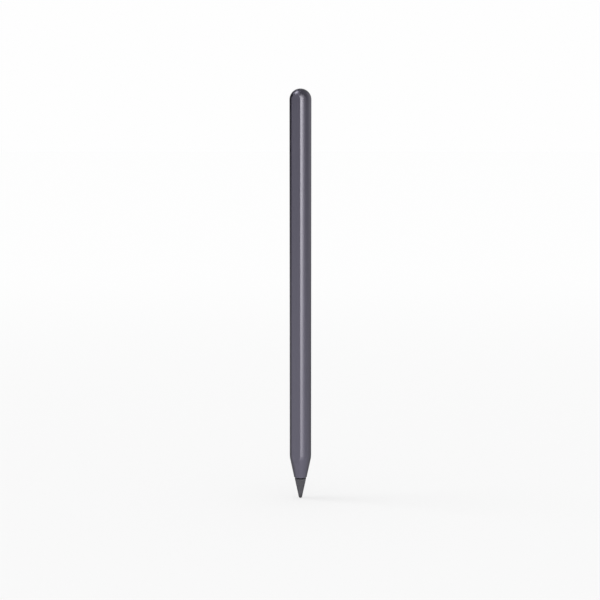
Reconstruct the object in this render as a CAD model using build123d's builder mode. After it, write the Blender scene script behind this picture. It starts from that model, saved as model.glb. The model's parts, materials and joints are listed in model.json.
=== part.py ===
"""Stylus pen with a flat charging side and a screw-on nib that senses pressure.

The pen stands on its nib: the nib's point is the origin, +Z runs up the axis to the domed end,
and the flat side faces -Y. All sizes are millimetres and all angles are degrees.
"""

import os
from math import cos, pi, radians, sin, sqrt, tan

from build123d import *

# Outside form
overall_length = 167.0
barrel_diameter = 8.8
flat_depth = 0.44
flat_edge_round = 0.5
taper_angle = 12.1
shoulder_round = 11.0
rim_chamfer = 0.12

# Nib
nib_length = 8.3
nib_point_radius = 0.72
nib_gap = 0.45
nib_step = 0.135
nib_socket_depth = 0.7
nib_relief_depth = 0.6

# Walls and fits
barrel_wall = 0.8
nose_wall = 0.85
nose_land = 1.2
slide_fit = 0.05
seat_fit = 0.05
press_fit = 0.02
overrun = 1.0

# Nib thread, insert, washer and stem
thread_diameter = 1.6
insert_diameter = 2.2
insert_length = 2.4
washer_thickness = 0.4
stem_diameter = 2.6
stem_tip_chamfer = 0.2
nose_clearance = 0.3
collar_clearance = 0.3
collar_thickness = 0.7
spring_pin_clearance = 0.35
spring_pin_length = 2.3
bush_setback = 0.3
bush_length = 6.0
bush_wall = 0.55
tilt_ring_length = 2.0

# Return spring and force sensor
spring_length = 3.3
spring_inset = 0.2
spring_wire = 0.3
spring_turns = 4
wire_sides = 6
quarters_a_turn = 4
samples_a_turn = 24
sensor_thickness = 1.0
sensor_button_diameter = 1.2
sensor_button_height = 0.25
holder_wall = 0.7
holder_floor = 1.0

# End cap
spigot_length = 5.0
spigot_wall = 0.6
gasket_height = 0.9
gasket_depth = 0.35
tail_pad_thickness = 0.8

# Chassis and main board
bulkhead = 1.5
deck_height = 0.0
ledge_width = 0.7
trough_depth = 0.6
board_margin = 0.6
board_length = 44.0
board_thickness = 0.8
board_gap = 0.3
screw_diameter = 1.0
screw_floor = 0.4
screw_head_diameter = 1.7
screw_head_height = 0.5
chip_margin = 0.6
chip_length = 3.2
chip_height = 0.8
chip_count = 5
shield_margin = 0.75
shield_length = 5.6
shield_height = 1.3
shield_wall = 0.15
flex_width = 2.0
flex_thickness = 0.15
flex_overlap = 3.5

# Charging coil and magnets behind the flat
charge_centre_share = 0.5
coil_length = 22.0
coil_width = 2.6
coil_strand = 0.75
coil_thickness = 0.45
ferrite_thickness = 0.5
magnet_length = 5.0
magnet_width = 2.4
magnet_thickness = 1.0
magnet_gap = 0.3
magnet_count = 3
yoke_thickness = 0.4
pocket_rib = 1.2

# Battery bay
battery_floor = 0.6
battery_headroom = 0.2
battery_lip = 0.8
battery_chamfer = 0.3
battery_board_thickness = 0.8
battery_pad_thickness = 1.0

# Levels along the axis and radii that follow from the sizes above
barrel_radius = barrel_diameter / 2
flat_distance = barrel_radius - flat_depth
slope = tan(radians(taper_angle))
nib_apex_depth = nib_point_radius * (1 / sin(radians(taper_angle)) - 1)
nib_base_radius = (nib_length + nib_apex_depth) * slope
nose_z = nib_length + nib_gap
nose_radius = (nose_z + nib_apex_depth) * slope + nib_step
shoulder_z = nose_z + (barrel_radius - nose_radius) / slope
dome_z = overall_length - barrel_radius

bore_radius = barrel_radius - barrel_wall
bore_flat = flat_distance - barrel_wall
nose_land_z = nose_z + nose_land
land_radius = nose_radius + nose_land * slope - nose_wall
bore_rear_z = dome_z + overrun

thread_radius = thread_diameter / 2
insert_radius = insert_diameter / 2
stem_radius = stem_diameter / 2
stem_seat_z = nib_length - nib_socket_depth
insert_top_z = stem_seat_z - washer_thickness
insert_z = insert_top_z - insert_length
nib_socket_radius = stem_radius + slide_fit
nose_bore_radius = stem_radius + nose_clearance

bush_z = nose_land_z + bush_setback
bush_rear_z = bush_z + bush_length
bush_bore_radius = stem_radius + slide_fit
bush_neck_radius = bush_bore_radius + bush_wall
tilt_ring_rear_z = bush_rear_z - bush_length / 2
tilt_ring_z = tilt_ring_rear_z - tilt_ring_length
collar_rear_z = bush_rear_z + collar_thickness
sensor_z = collar_rear_z + spring_length
holder_floor_z = sensor_z + sensor_thickness
chassis_z = holder_floor_z + holder_floor

chassis_radius = bore_radius - seat_fit
chassis_flat = bore_flat - seat_fit
holder_radius = chassis_flat - holder_wall
sensor_radius = holder_radius - seat_fit
collar_radius = holder_radius - collar_clearance
coil_radius = collar_radius - spring_inset - spring_wire / 2
spring_pin_radius = coil_radius - spring_wire / 2 - spring_pin_clearance
coil_z = collar_rear_z + spring_wire / 2 + press_fit
coil_pitch = (spring_length - spring_wire - 2 * press_fit) / spring_turns

spigot_z = dome_z - spigot_length
gasket_z = spigot_z + (spigot_length - gasket_height) / 2
gasket_inset = gasket_depth - press_fit
cap_hollow_radius = chassis_flat - gasket_depth - spigot_wall
chassis_rear_z = spigot_z - tail_pad_thickness
deck_z = chassis_z + bulkhead
board_z = deck_z + board_gap
board_rear_z = board_z + board_length
board_top = deck_height + board_thickness
board_width = 2 * (sqrt(chassis_radius**2 - board_top**2) - board_margin)
shield_width = board_width - 2 * shield_margin
chip_width = shield_width - 2 * (shield_wall + chip_margin)
front_screw_z = board_z + flex_overlap + screw_head_diameter
rear_screw_z = board_rear_z - screw_head_diameter
chip_row = rear_screw_z - front_screw_z - 2 * screw_head_diameter
chip_centre_z = (front_screw_z + rear_screw_z) / 2

charge_centre_z = overall_length * charge_centre_share
coil_eye_length = coil_length - 2 * coil_strand
coil_eye_width = coil_width - 2 * coil_strand
magnet_pitch = magnet_length + magnet_gap
magnet_row = magnet_count * magnet_length + (magnet_count - 1) * magnet_gap
magnet_offset = coil_length / 2 + pocket_rib + magnet_row / 2
magnet_centres_z = (charge_centre_z - magnet_offset, charge_centre_z + magnet_offset)
screw_grip = chassis_flat - magnet_thickness - yoke_thickness + deck_height - screw_floor

deck_rear_z = charge_centre_z + magnet_offset + magnet_row / 2
battery_bay_z = deck_rear_z + bulkhead
battery_bay_rear_z = chassis_rear_z - bulkhead
battery_board_z = battery_bay_z + seat_fit
battery_z = battery_board_z + battery_board_thickness + seat_fit
battery_rear_z = battery_bay_rear_z - battery_pad_thickness - 2 * seat_fit
battery_low = chassis_flat - battery_floor
battery_bay_radius = (bore_radius - battery_headroom + battery_low) / 2
battery_radius = battery_bay_radius - seat_fit
battery_y = battery_bay_radius - battery_low


def taper_radius(z: float) -> float:
    """Radius of the hollow inside the taper at height z."""
    return land_radius + (z - nose_land_z) * slope


def round_with_flat(radius: float, flat: float, mode: Mode = Mode.ADD) -> None:
    """Draw a circle cut by a flat on its -Y side in the sketch that is open."""
    half_chord = sqrt(radius**2 - flat**2)
    with BuildLine() as outline:
        arc = ThreePointArc((half_chord, -flat), (0, radius), (-half_chord, -flat))
        Line(arc @ 1, arc @ 0)
    make_face(outline.edges(), mode=mode)


# Outside form of barrel and cap together, parted later where the dome begins
with BuildPart() as pen_form:
    with BuildSketch(Plane.XZ):
        with BuildLine():
            Polyline((0, nose_z), (nose_radius, nose_z), (barrel_radius, shoulder_z), (barrel_radius, dome_z))
            CenterArc((0, dome_z), barrel_radius, 0, 90)
            Line((0, overall_length), (0, nose_z))
        make_face()
        fillet(vertices().sort_by_distance((barrel_radius, shoulder_z))[0], radius=shoulder_round)
        chamfer(vertices().sort_by_distance((nose_radius, nose_z))[0], length=rim_chamfer)
    revolve(axis=Axis.Z)
    with BuildSketch(Plane.XZ.offset(flat_distance)):
        with Locations((0, overall_length / 2)):
            Rectangle(barrel_diameter, overall_length)
    extrude(amount=flat_depth + overrun, mode=Mode.SUBTRACT)
    fillet(faces().sort_by(Axis.Y)[0].edges(), radius=flat_edge_round)

# Hollow of the barrel: nose hole, taper and a bore with its own flat
with BuildPart() as hollow:
    with BuildSketch(Plane.XY.offset(nose_land_z)):
        round_with_flat(bore_radius, bore_flat)
    extrude(amount=bore_rear_z - nose_land_z)
    with BuildSketch(Plane.XZ):
        with BuildLine():
            Polyline(
                (0, nose_land_z),
                (land_radius, nose_land_z),
                (taper_radius(bore_rear_z), bore_rear_z),
                (0, bore_rear_z),
                close=True,
            )
        make_face()
    revolve(axis=Axis.Z, mode=Mode.INTERSECT)
    with BuildSketch(Plane.XY.offset(nose_z - overrun)):
        Circle(nose_bore_radius)
    extrude(amount=nose_land + overrun)

with BuildPart() as barrel:
    add(pen_form.part)
    split(bisect_by=Plane.XY.offset(dome_z), keep=Keep.BOTTOM)
    add(hollow.part, mode=Mode.SUBTRACT)

with BuildPart() as end_cap:
    add(pen_form.part)
    split(bisect_by=Plane.XY.offset(dome_z), keep=Keep.TOP)
    with BuildSketch(Plane.XY.offset(spigot_z)):
        round_with_flat(chassis_radius, chassis_flat)
    extrude(amount=spigot_length)
    with BuildSketch(Plane.XY.offset(gasket_z)):
        round_with_flat(bore_radius, bore_flat)
        round_with_flat(chassis_radius - gasket_depth, chassis_flat - gasket_depth, mode=Mode.SUBTRACT)
    extrude(amount=gasket_height, mode=Mode.SUBTRACT)
    with BuildSketch(Plane.XY.offset(spigot_z)):
        Circle(cap_hollow_radius)
    extrude(amount=spigot_length, mode=Mode.SUBTRACT)

with BuildPart() as cap_gasket:
    with BuildSketch(Plane.XY.offset(gasket_z + press_fit)):
        round_with_flat(bore_radius - press_fit, bore_flat - press_fit)
        round_with_flat(chassis_radius - gasket_inset, chassis_flat - gasket_inset, mode=Mode.SUBTRACT)
    extrude(amount=gasket_height - 2 * press_fit)

with BuildPart() as tail_pad:
    with BuildSketch(Plane.XY.offset(chassis_rear_z)):
        round_with_flat(chassis_radius, chassis_flat)
        Circle(cap_hollow_radius, mode=Mode.SUBTRACT)
    extrude(amount=tail_pad_thickness)

# Nib: a rounded point on a cone, bored for its insert, the washer and the end of the stem
with BuildPart() as nib:
    with BuildSketch(Plane.XZ):
        with BuildLine():
            point = CenterArc((0, nib_point_radius), nib_point_radius, -90, 90 - taper_angle)
            Polyline(
                point @ 1,
                (nib_base_radius, nib_length),
                (nib_socket_radius, nib_length),
                (nib_socket_radius, insert_top_z),
                (insert_radius + press_fit, insert_top_z),
                (insert_radius + press_fit, insert_z),
                (thread_radius + slide_fit, insert_z),
                (thread_radius + slide_fit, insert_z - nib_relief_depth),
                (0, insert_z - nib_relief_depth),
                point @ 0,
            )
        make_face()
        chamfer(vertices().sort_by_distance((nib_base_radius, nib_length))[0], length=rim_chamfer)
    revolve(axis=Axis.Z)

with BuildPart() as nib_insert:
    with BuildSketch(Plane.XY.offset(insert_z)):
        Circle(insert_radius)
        Circle(thread_radius + slide_fit, mode=Mode.SUBTRACT)
    extrude(amount=insert_length)

with BuildPart() as nib_washer:
    with BuildSketch(Plane.XY.offset(insert_top_z)):
        Circle(nib_socket_radius - slide_fit)
        Circle(thread_radius + slide_fit, mode=Mode.SUBTRACT)
    extrude(amount=washer_thickness)

# Stem: thread end, shaft, the collar that stops on the bush and the pin that guides the spring
with BuildPart() as nib_stem:
    with BuildSketch(Plane.XZ):
        with BuildLine():
            Polyline(
                (0, insert_z),
                (thread_radius, insert_z),
                (thread_radius, stem_seat_z),
                (stem_radius, stem_seat_z),
                (stem_radius, bush_rear_z),
                (collar_radius, bush_rear_z),
                (collar_radius, collar_rear_z),
                (spring_pin_radius, collar_rear_z),
                (spring_pin_radius, collar_rear_z + spring_pin_length),
                (0, collar_rear_z + spring_pin_length),
                close=True,
            )
        make_face()
        thread_corner = vertices().sort_by_distance((thread_radius, insert_z))[0]
        pin_corner = vertices().sort_by_distance((spring_pin_radius, collar_rear_z + spring_pin_length))[0]
        chamfer([thread_corner, pin_corner], length=stem_tip_chamfer)
    revolve(axis=Axis.Z)

with BuildPart() as nose_bush:
    with BuildSketch(Plane.XZ):
        with BuildLine():
            Polyline(
                (bush_bore_radius, bush_z),
                (bush_neck_radius, bush_z),
                (bush_neck_radius, tilt_ring_rear_z),
                (taper_radius(tilt_ring_rear_z) - seat_fit, tilt_ring_rear_z),
                (taper_radius(bush_rear_z) - seat_fit, bush_rear_z),
                (bush_bore_radius, bush_rear_z),
                close=True,
            )
        make_face()
    revolve(axis=Axis.Z)
    with BuildSketch(Plane.XY.offset(bush_z)):
        round_with_flat(chassis_radius, chassis_flat)
    extrude(amount=bush_length, mode=Mode.INTERSECT)

with BuildPart() as tilt_ring:
    with BuildSketch(Plane.XZ):
        with BuildLine():
            Polyline(
                (bush_neck_radius + press_fit, tilt_ring_z),
                (taper_radius(tilt_ring_z) - seat_fit, tilt_ring_z),
                (taper_radius(tilt_ring_rear_z) - seat_fit, tilt_ring_rear_z),
                (bush_neck_radius + press_fit, tilt_ring_rear_z),
                close=True,
            )
        make_face()
    revolve(axis=Axis.Z)
    with BuildSketch(Plane.XY.offset(tilt_ring_z)):
        round_with_flat(chassis_radius, chassis_flat)
    extrude(amount=tilt_ring_length, mode=Mode.INTERSECT)


# Return spring: one wire along a helix, drawn as pairs of tangent arcs for each quarter turn
def coil_point(quarter: float) -> Vector:
    """Point on the wire's centre line after so many quarter turns."""
    turns = quarter / quarters_a_turn
    angle = turns * 2 * pi
    return Vector(coil_radius * cos(angle), coil_radius * sin(angle), coil_z + coil_pitch * turns)


def coil_heading(quarter: float) -> Vector:
    """Unit direction of the wire after so many quarter turns."""
    angle = quarter * 2 * pi / quarters_a_turn
    return Vector(-coil_radius * sin(angle), coil_radius * cos(angle), coil_pitch / (2 * pi)).normalized()


with BuildPart() as return_spring:
    with BuildLine() as coil_line:
        for quarter in range(spring_turns * quarters_a_turn):
            start, end = coil_point(quarter), coil_point(quarter + 1)
            start_heading, end_heading = coil_heading(quarter), coil_heading(quarter + 1)
            chord = end - start
            headings = start_heading + end_heading
            spread = 2 * (1 - start_heading.dot(end_heading))
            along = chord.dot(headings)
            reach = (sqrt(along**2 + spread * chord.dot(chord)) - along) / spread
            start_knee = start + start_heading * reach
            end_knee = end - end_heading * reach
            middle = (start_knee + end_knee) / 2
            TangentArc(start, middle, tangent=start_heading)
            TangentArc(middle, end, tangent=end_knee - start_knee)
    with BuildSketch(Plane(origin=coil_point(0), z_dir=coil_heading(0))):
        RegularPolygon(spring_wire / 2, side_count=wire_sides)
    sweep(path=coil_line.wires()[0])

samples = [coil_point(i * quarters_a_turn / samples_a_turn) for i in range(spring_turns * samples_a_turn + 1)]
least_gap = min(
    (samples[j] - samples[i]).length - spring_wire
    for i in range(len(samples))
    for j in range(i + samples_a_turn // 2, len(samples))
)
print(f"return_spring: least gap between turns {least_gap:.2f} mm")

with BuildPart() as force_sensor:
    with BuildSketch(Plane.XY.offset(sensor_z)):
        Circle(sensor_radius)
    extrude(amount=sensor_thickness)
    with BuildSketch(Plane.XY.offset(sensor_z)):
        Circle(sensor_button_diameter / 2)
    extrude(amount=-sensor_button_height)

# Cup behind the bush: its rim holds the bush in the taper and its floor carries the sensor
with BuildPart() as sensor_holder:
    with BuildSketch(Plane.XY.offset(bush_rear_z)):
        round_with_flat(chassis_radius, chassis_flat)
    extrude(amount=chassis_z - bush_rear_z)
    with BuildSketch(Plane.XZ):
        with BuildLine():
            Polyline(
                (0, bush_rear_z),
                (taper_radius(bush_rear_z) - seat_fit, bush_rear_z),
                (taper_radius(chassis_z) - seat_fit, chassis_z),
                (0, chassis_z),
                close=True,
            )
        make_face()
    revolve(axis=Axis.Z, mode=Mode.INTERSECT)
    with BuildSketch(Plane.XY.offset(bush_rear_z)):
        Circle(holder_radius)
    extrude(amount=holder_floor_z - bush_rear_z, mode=Mode.SUBTRACT)
    with BuildSketch(Plane.XY.offset(holder_floor_z)):
        with Locations((0, board_top + flex_thickness / 2)):
            Rectangle(flex_width + 2 * seat_fit, flex_thickness + 2 * seat_fit)
    extrude(amount=holder_floor, mode=Mode.SUBTRACT)

with BuildPart() as sensor_flex:
    with BuildSketch(Plane.XY.offset(holder_floor_z + press_fit)):
        with Locations((0, board_top + flex_thickness / 2)):
            Rectangle(flex_width, flex_thickness)
    extrude(amount=board_z + flex_overlap - holder_floor_z - press_fit)

# Chassis: a bar that fills the bore, cut down to a deck for the board and hollowed for the cell
with BuildPart() as chassis:
    with BuildSketch(Plane.XY.offset(chassis_z)):
        round_with_flat(chassis_radius, chassis_flat)
    extrude(amount=chassis_rear_z - chassis_z)
    with BuildSketch(Plane.XZ.offset(-deck_height)):
        with Locations((0, (deck_z + deck_rear_z) / 2)):
            Rectangle(barrel_diameter, deck_rear_z - deck_z)
    extrude(amount=-barrel_radius, mode=Mode.SUBTRACT)
    with BuildSketch(Plane.XZ.offset(-deck_height)):
        with Locations((0, chip_centre_z)):
            Rectangle(board_width - 2 * ledge_width, chip_row)
    extrude(amount=trough_depth, mode=Mode.SUBTRACT)
    with BuildSketch(Plane.XZ.offset(-deck_height)):
        with Locations((0, front_screw_z), (0, rear_screw_z)):
            Circle(screw_diameter / 2 + press_fit)
    extrude(amount=screw_grip + press_fit, mode=Mode.SUBTRACT)
    with BuildSketch(Plane.XY.offset(chassis_z)):
        with Locations((0, board_top + flex_thickness / 2)):
            Rectangle(flex_width + 2 * seat_fit, flex_thickness + 2 * seat_fit)
    extrude(amount=bulkhead, mode=Mode.SUBTRACT)
    with BuildSketch(Plane.XY.offset(deck_rear_z)):
        with Locations((0, deck_height + (flex_thickness + seat_fit) / 2)):
            Rectangle(flex_width + 2 * seat_fit, flex_thickness + seat_fit)
    extrude(amount=bulkhead, mode=Mode.SUBTRACT)
    with BuildSketch(Plane.XZ.offset(chassis_flat)):
        with Locations((0, charge_centre_z)):
            Rectangle(coil_width + 2 * seat_fit, coil_length + 2 * seat_fit)
    extrude(amount=-coil_thickness - ferrite_thickness, mode=Mode.SUBTRACT)
    with BuildSketch(Plane.XZ.offset(chassis_flat)):
        for centre_z in magnet_centres_z:
            with Locations((0, centre_z)):
                Rectangle(magnet_width + 2 * seat_fit, magnet_row + 2 * seat_fit)
    extrude(amount=-magnet_thickness - yoke_thickness, mode=Mode.SUBTRACT)
    with BuildSketch(Plane.XY.offset(battery_bay_z)):
        with Locations((0, battery_y)):
            Circle(battery_bay_radius)
            Rectangle(2 * battery_bay_radius, barrel_radius, align=(Align.CENTER, Align.MIN))
        with Locations((0, battery_y + battery_lip)):
            Rectangle(barrel_diameter, barrel_radius, align=(Align.CENTER, Align.MIN))
    extrude(amount=battery_bay_rear_z - battery_bay_z, mode=Mode.SUBTRACT)

# Main board with its chips, shield and screws
with BuildPart() as main_board:
    with BuildSketch(Plane.XZ.offset(-deck_height)):
        with Locations((0, board_z + board_length / 2)):
            Rectangle(board_width, board_length)
        with Locations((0, front_screw_z), (0, rear_screw_z)):
            Circle(screw_diameter / 2 + seat_fit, mode=Mode.SUBTRACT)
    extrude(amount=-board_thickness)

with BuildPart() as board_chips:
    with BuildSketch(Plane.XZ.offset(-board_top)):
        with Locations((0, chip_centre_z)):
            with GridLocations(chip_width, chip_row / chip_count, 1, chip_count):
                Rectangle(chip_width, chip_length)
    extrude(amount=-chip_height)

with BuildPart() as shield_can:
    with BuildSketch(Plane.XZ.offset(-board_top)):
        with Locations((0, chip_centre_z)):
            Rectangle(shield_width, shield_length)
    extrude(amount=-shield_height)
    with BuildSketch(Plane.XZ.offset(-board_top)):
        with Locations((0, chip_centre_z)):
            Rectangle(shield_width - 2 * shield_wall, shield_length - 2 * shield_wall)
    extrude(amount=shield_wall - shield_height, mode=Mode.SUBTRACT)

with BuildPart() as board_screws:
    with BuildSketch(Plane.XZ.offset(-board_top)):
        with Locations((0, front_screw_z), (0, rear_screw_z)):
            Circle(screw_head_diameter / 2)
    extrude(amount=-screw_head_height)
    with BuildSketch(Plane.XZ.offset(-board_top)):
        with Locations((0, front_screw_z), (0, rear_screw_z)):
            Circle(screw_diameter / 2)
    extrude(amount=board_thickness + screw_grip)

with BuildPart() as power_flex:
    with BuildSketch(Plane.XY.offset(board_rear_z + press_fit)):
        with Locations((0, deck_height + flex_thickness / 2)):
            Rectangle(flex_width, flex_thickness)
    extrude(amount=battery_board_z - board_rear_z - 2 * press_fit)

# Charging coil on its ferrite bar, with a row of magnets on each side of it
with BuildPart() as charging_coil:
    with BuildSketch(Plane.XZ.offset(chassis_flat)):
        with Locations((0, charge_centre_z)):
            SlotOverall(coil_length, coil_width, rotation=90)
            SlotOverall(coil_eye_length, coil_eye_width, rotation=90, mode=Mode.SUBTRACT)
    extrude(amount=-coil_thickness)

with BuildPart() as ferrite_bar:
    with BuildSketch(Plane.XZ.offset(chassis_flat - coil_thickness)):
        with Locations((0, charge_centre_z)):
            Rectangle(coil_width, coil_length)
    extrude(amount=-ferrite_thickness)

with BuildPart() as magnets:
    with BuildSketch(Plane.XZ.offset(chassis_flat)):
        for centre_z in magnet_centres_z:
            with Locations((0, centre_z)):
                with GridLocations(magnet_width, magnet_pitch, 1, magnet_count):
                    Rectangle(magnet_width, magnet_length)
    extrude(amount=-magnet_thickness)

with BuildPart() as magnet_yokes:
    with BuildSketch(Plane.XZ.offset(chassis_flat - magnet_thickness)):
        for centre_z in magnet_centres_z:
            with Locations((0, centre_z)):
                Rectangle(magnet_width, magnet_row)
    extrude(amount=-yoke_thickness)

# Battery between its protection board and a foam pad
with BuildPart() as battery_board:
    with BuildSketch(Plane.XY.offset(battery_board_z)):
        with Locations((0, battery_y)):
            Circle(battery_radius)
    extrude(amount=battery_board_thickness)

with BuildPart() as battery:
    with BuildSketch(Plane.XY.offset(battery_z)):
        with Locations((0, battery_y)):
            Circle(battery_radius)
    extrude(amount=battery_rear_z - battery_z)
    chamfer(edges().filter_by(GeomType.CIRCLE), length=battery_chamfer)

with BuildPart() as battery_pad:
    with BuildSketch(Plane.XY.offset(battery_rear_z + seat_fit)):
        with Locations((0, battery_y)):
            Circle(battery_radius)
    extrude(amount=battery_pad_thickness)

pieces = {
    "barrel": barrel,
    "end_cap": end_cap,
    "cap_gasket": cap_gasket,
    "tail_pad": tail_pad,
    "nose_bush": nose_bush,
    "tilt_ring": tilt_ring,
    "sensor_holder": sensor_holder,
    "force_sensor": force_sensor,
    "return_spring": return_spring,
    "sensor_flex": sensor_flex,
    "chassis": chassis,
    "main_board": main_board,
    "board_chips": board_chips,
    "shield_can": shield_can,
    "board_screws": board_screws,
    "power_flex": power_flex,
    "charging_coil": charging_coil,
    "ferrite_bar": ferrite_bar,
    "magnets": magnets,
    "magnet_yokes": magnet_yokes,
    "battery_board": battery_board,
    "battery": battery,
    "battery_pad": battery_pad,
    "nib_stem": nib_stem,
    "nib_washer": nib_washer,
    "nib": nib,
    "nib_insert": nib_insert,
}

os.makedirs("parts", exist_ok=True)
for name, piece in pieces.items():
    piece.part.label = name
    export_step(piece.part, f"parts/{name}.step")
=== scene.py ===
"""Looks of the stylus pen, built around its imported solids.

The pen stands on its nib with the flat side towards -Y. Lengths are in metres in the frame of the solids.
A size that a solid has is read from its box, and the finer ones are fields of the classes. Every new piece
is a surface worked out as whole numpy arrays.
"""

import json
import logging
import math
from dataclasses import dataclass
from enum import Enum
from typing import Any, ClassVar

import bpy
import numpy as np
from mathutils import Matrix, Vector


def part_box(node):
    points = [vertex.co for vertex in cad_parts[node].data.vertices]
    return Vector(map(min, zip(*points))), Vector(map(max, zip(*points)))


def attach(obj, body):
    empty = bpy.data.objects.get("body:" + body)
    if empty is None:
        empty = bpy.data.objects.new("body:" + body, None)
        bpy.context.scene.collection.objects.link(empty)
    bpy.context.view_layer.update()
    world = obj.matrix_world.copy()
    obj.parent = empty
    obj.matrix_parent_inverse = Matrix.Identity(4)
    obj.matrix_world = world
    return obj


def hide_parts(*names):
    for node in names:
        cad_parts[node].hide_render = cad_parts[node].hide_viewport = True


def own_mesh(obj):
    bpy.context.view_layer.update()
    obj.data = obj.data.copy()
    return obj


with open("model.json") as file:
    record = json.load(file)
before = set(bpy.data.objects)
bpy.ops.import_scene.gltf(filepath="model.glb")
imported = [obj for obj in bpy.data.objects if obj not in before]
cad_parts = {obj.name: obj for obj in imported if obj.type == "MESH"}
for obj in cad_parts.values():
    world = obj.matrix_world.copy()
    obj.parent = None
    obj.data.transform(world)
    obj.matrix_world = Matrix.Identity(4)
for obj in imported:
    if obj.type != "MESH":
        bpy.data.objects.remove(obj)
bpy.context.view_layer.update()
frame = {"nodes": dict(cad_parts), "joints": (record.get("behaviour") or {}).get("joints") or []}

log = logging.getLogger("stylus_pen")

Array = np.ndarray
Point = tuple[float, float]
Piece = bpy.types.Object
Tree = bpy.types.NodeTree
Socket = bpy.types.NodeSocket

MM = 0.001
TURN = 2.0 * math.pi
UP = (0.0, 0.0, 1.0)
SAME_POINT = 1.0e-9
CREASE_DEGREES = 35.0

# Steps of a small round edge, of a long curve or run, and of one where a flat runs out
EDGE_STEPS, ROWS, FINE_ROWS = 6, 32, 56

# Columns round a turned piece, and on the flat, a corner, the round and the other corner of a flat-sided one
ROUND_COLUMNS = 96
RING_COLUMNS = (16, 8, 120, 8)

# A flat so far out that it cuts nothing, and the angle that its corners keep apart where it runs out
NO_FLAT = 1.0
LEAST_DEGREES = 2.0

# Sockets of a Mix node that mixes colours, and the bands in one unit of a Wave node of scale 1
COLOUR_A, COLOUR_B, COLOUR_OUT = 6, 7, 2
WAVE_BANDS = 20.0 / TURN


class Ends(Enum):
    """How the rows of a grid end."""

    LOOP = "the last row joins the first"
    POLES = "the first and last rows are single points"
    CAPS = "the first and last rows are closed by a fan"
    OPEN = "the first and last rows are free edges"


class Pattern(Enum):
    """What breaks up a finish."""

    CLOUD = "soft irregular mottling"
    CELLS = "small bright cells"
    PORES = "open round pores"
    RINGS = "fine rings round the pen's axis"
    TRACKS = "stripes along the pen"
    WEAVE = "crossing threads on a face towards any axis"


# Shares of the bands along X, Y and Z in each banded pattern
BAND_SHARES = {
    Pattern.RINGS: (0.0, 0.0, 1.0),
    Pattern.TRACKS: (1.0, 0.0, 0.0),
    Pattern.WEAVE: (1.0 / 3.0, 1.0 / 3.0, 1.0 / 3.0),
}


@dataclass(frozen=True)
class Box:
    """Box of a solid at rest, by its faces."""

    right: float
    front: float
    back: float
    low: float
    high: float

    @classmethod
    def of(cls, name: str) -> "Box":
        """Read the box of the solid with this name."""
        low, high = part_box(name)
        return cls(high.x, low.y, high.y, low.z, high.z)

    @property
    def axis_y(self) -> float:
        """Middle between front and back."""
        return (self.front + self.back) / 2.0

    @property
    def axis_z(self) -> float:
        """Middle between bottom and top."""
        return (self.low + self.high) / 2.0


def joint(name: str) -> dict[str, Any]:
    """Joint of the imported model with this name."""
    return next(made for made in frame["joints"] if made["name"] == name)


def arc(centre: Point, radius: float, start: float, end: float, steps: int = EDGE_STEPS) -> Array:
    """Points of an arc, the centre plus radius times (cos a, sin a), with a from start to end in degrees."""
    angle = np.radians(np.linspace(start, end, steps + 1))
    return np.column_stack((centre[0] + radius * np.cos(angle), centre[1] + radius * np.sin(angle)))


def run(start: Point, end: Point, steps: int) -> Array:
    """Even points of a straight line."""
    return np.linspace(start, end, steps + 1)


def inset(edge: float, lean: float) -> float:
    """Way in from a rim to its round edge's centre: edge * tan(45 degrees + half the wall's outward lean)."""
    return edge * math.tan(math.radians(45.0 + lean / 2.0))


def profile(*parts: Array | Point) -> Array:
    """Join points, lines and arcs end to end and drop the points that repeat.

    Args:
        parts: Points as (distance from the axis, height), or arrays of them, in order.

    Returns:
        Array of the joined points.
    """
    joined = np.vstack(parts)
    moves = np.linalg.norm(np.diff(joined, axis=0), axis=1) > SAME_POINT
    return joined[np.concatenate(([True], moves))]


def rounded_box(low: Point, high: Point, edge: float) -> Array:
    """Closed profile of a rectangle with round corners: four quarter arcs, run anticlockwise.

    Args:
        low: Inner and lower corner.
        high: Outer and upper corner.
        edge: Radius of the corners.

    Returns:
        Array of points whose last one is next to the first.
    """
    inner, outer = low[0] + edge, high[0] - edge
    bottom, top = low[1] + edge, high[1] - edge
    return profile(
        arc((outer, bottom), edge, -90, 0),
        arc((outer, top), edge, 0, 90),
        arc((inner, top), edge, 90, 180),
        arc((inner, bottom), edge, 180, 270),
    )


def angles(columns: int = ROUND_COLUMNS) -> Array:
    """One row of even angles once round, the first not repeated."""
    return np.linspace(0.0, TURN, columns, endpoint=False)[None, :]


def turned(radius: Array, height: Array, axis_y: float = 0.0) -> Array:
    """Grid round an upright axis: radius r and height z at angle a become (r cos a, r sin a, z).

    Args:
        radius: Radius at each row and column.
        height: Height of each row, as one column.
        axis_y: Place of the axis in Y.

    Returns:
        Grid of points.
    """
    angle = angles(radius.shape[1])
    z = np.broadcast_to(height, radius.shape)
    return np.stack((radius * np.cos(angle), axis_y + radius * np.sin(angle), z), axis=-1)


def lathe(line: Array, axis_y: float = 0.0) -> Array:
    """Turn a profile about an upright axis: the same radius at every angle."""
    return turned(np.repeat(line[:, :1], ROUND_COLUMNS, axis=1), line[:, 1:], axis_y)


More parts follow.
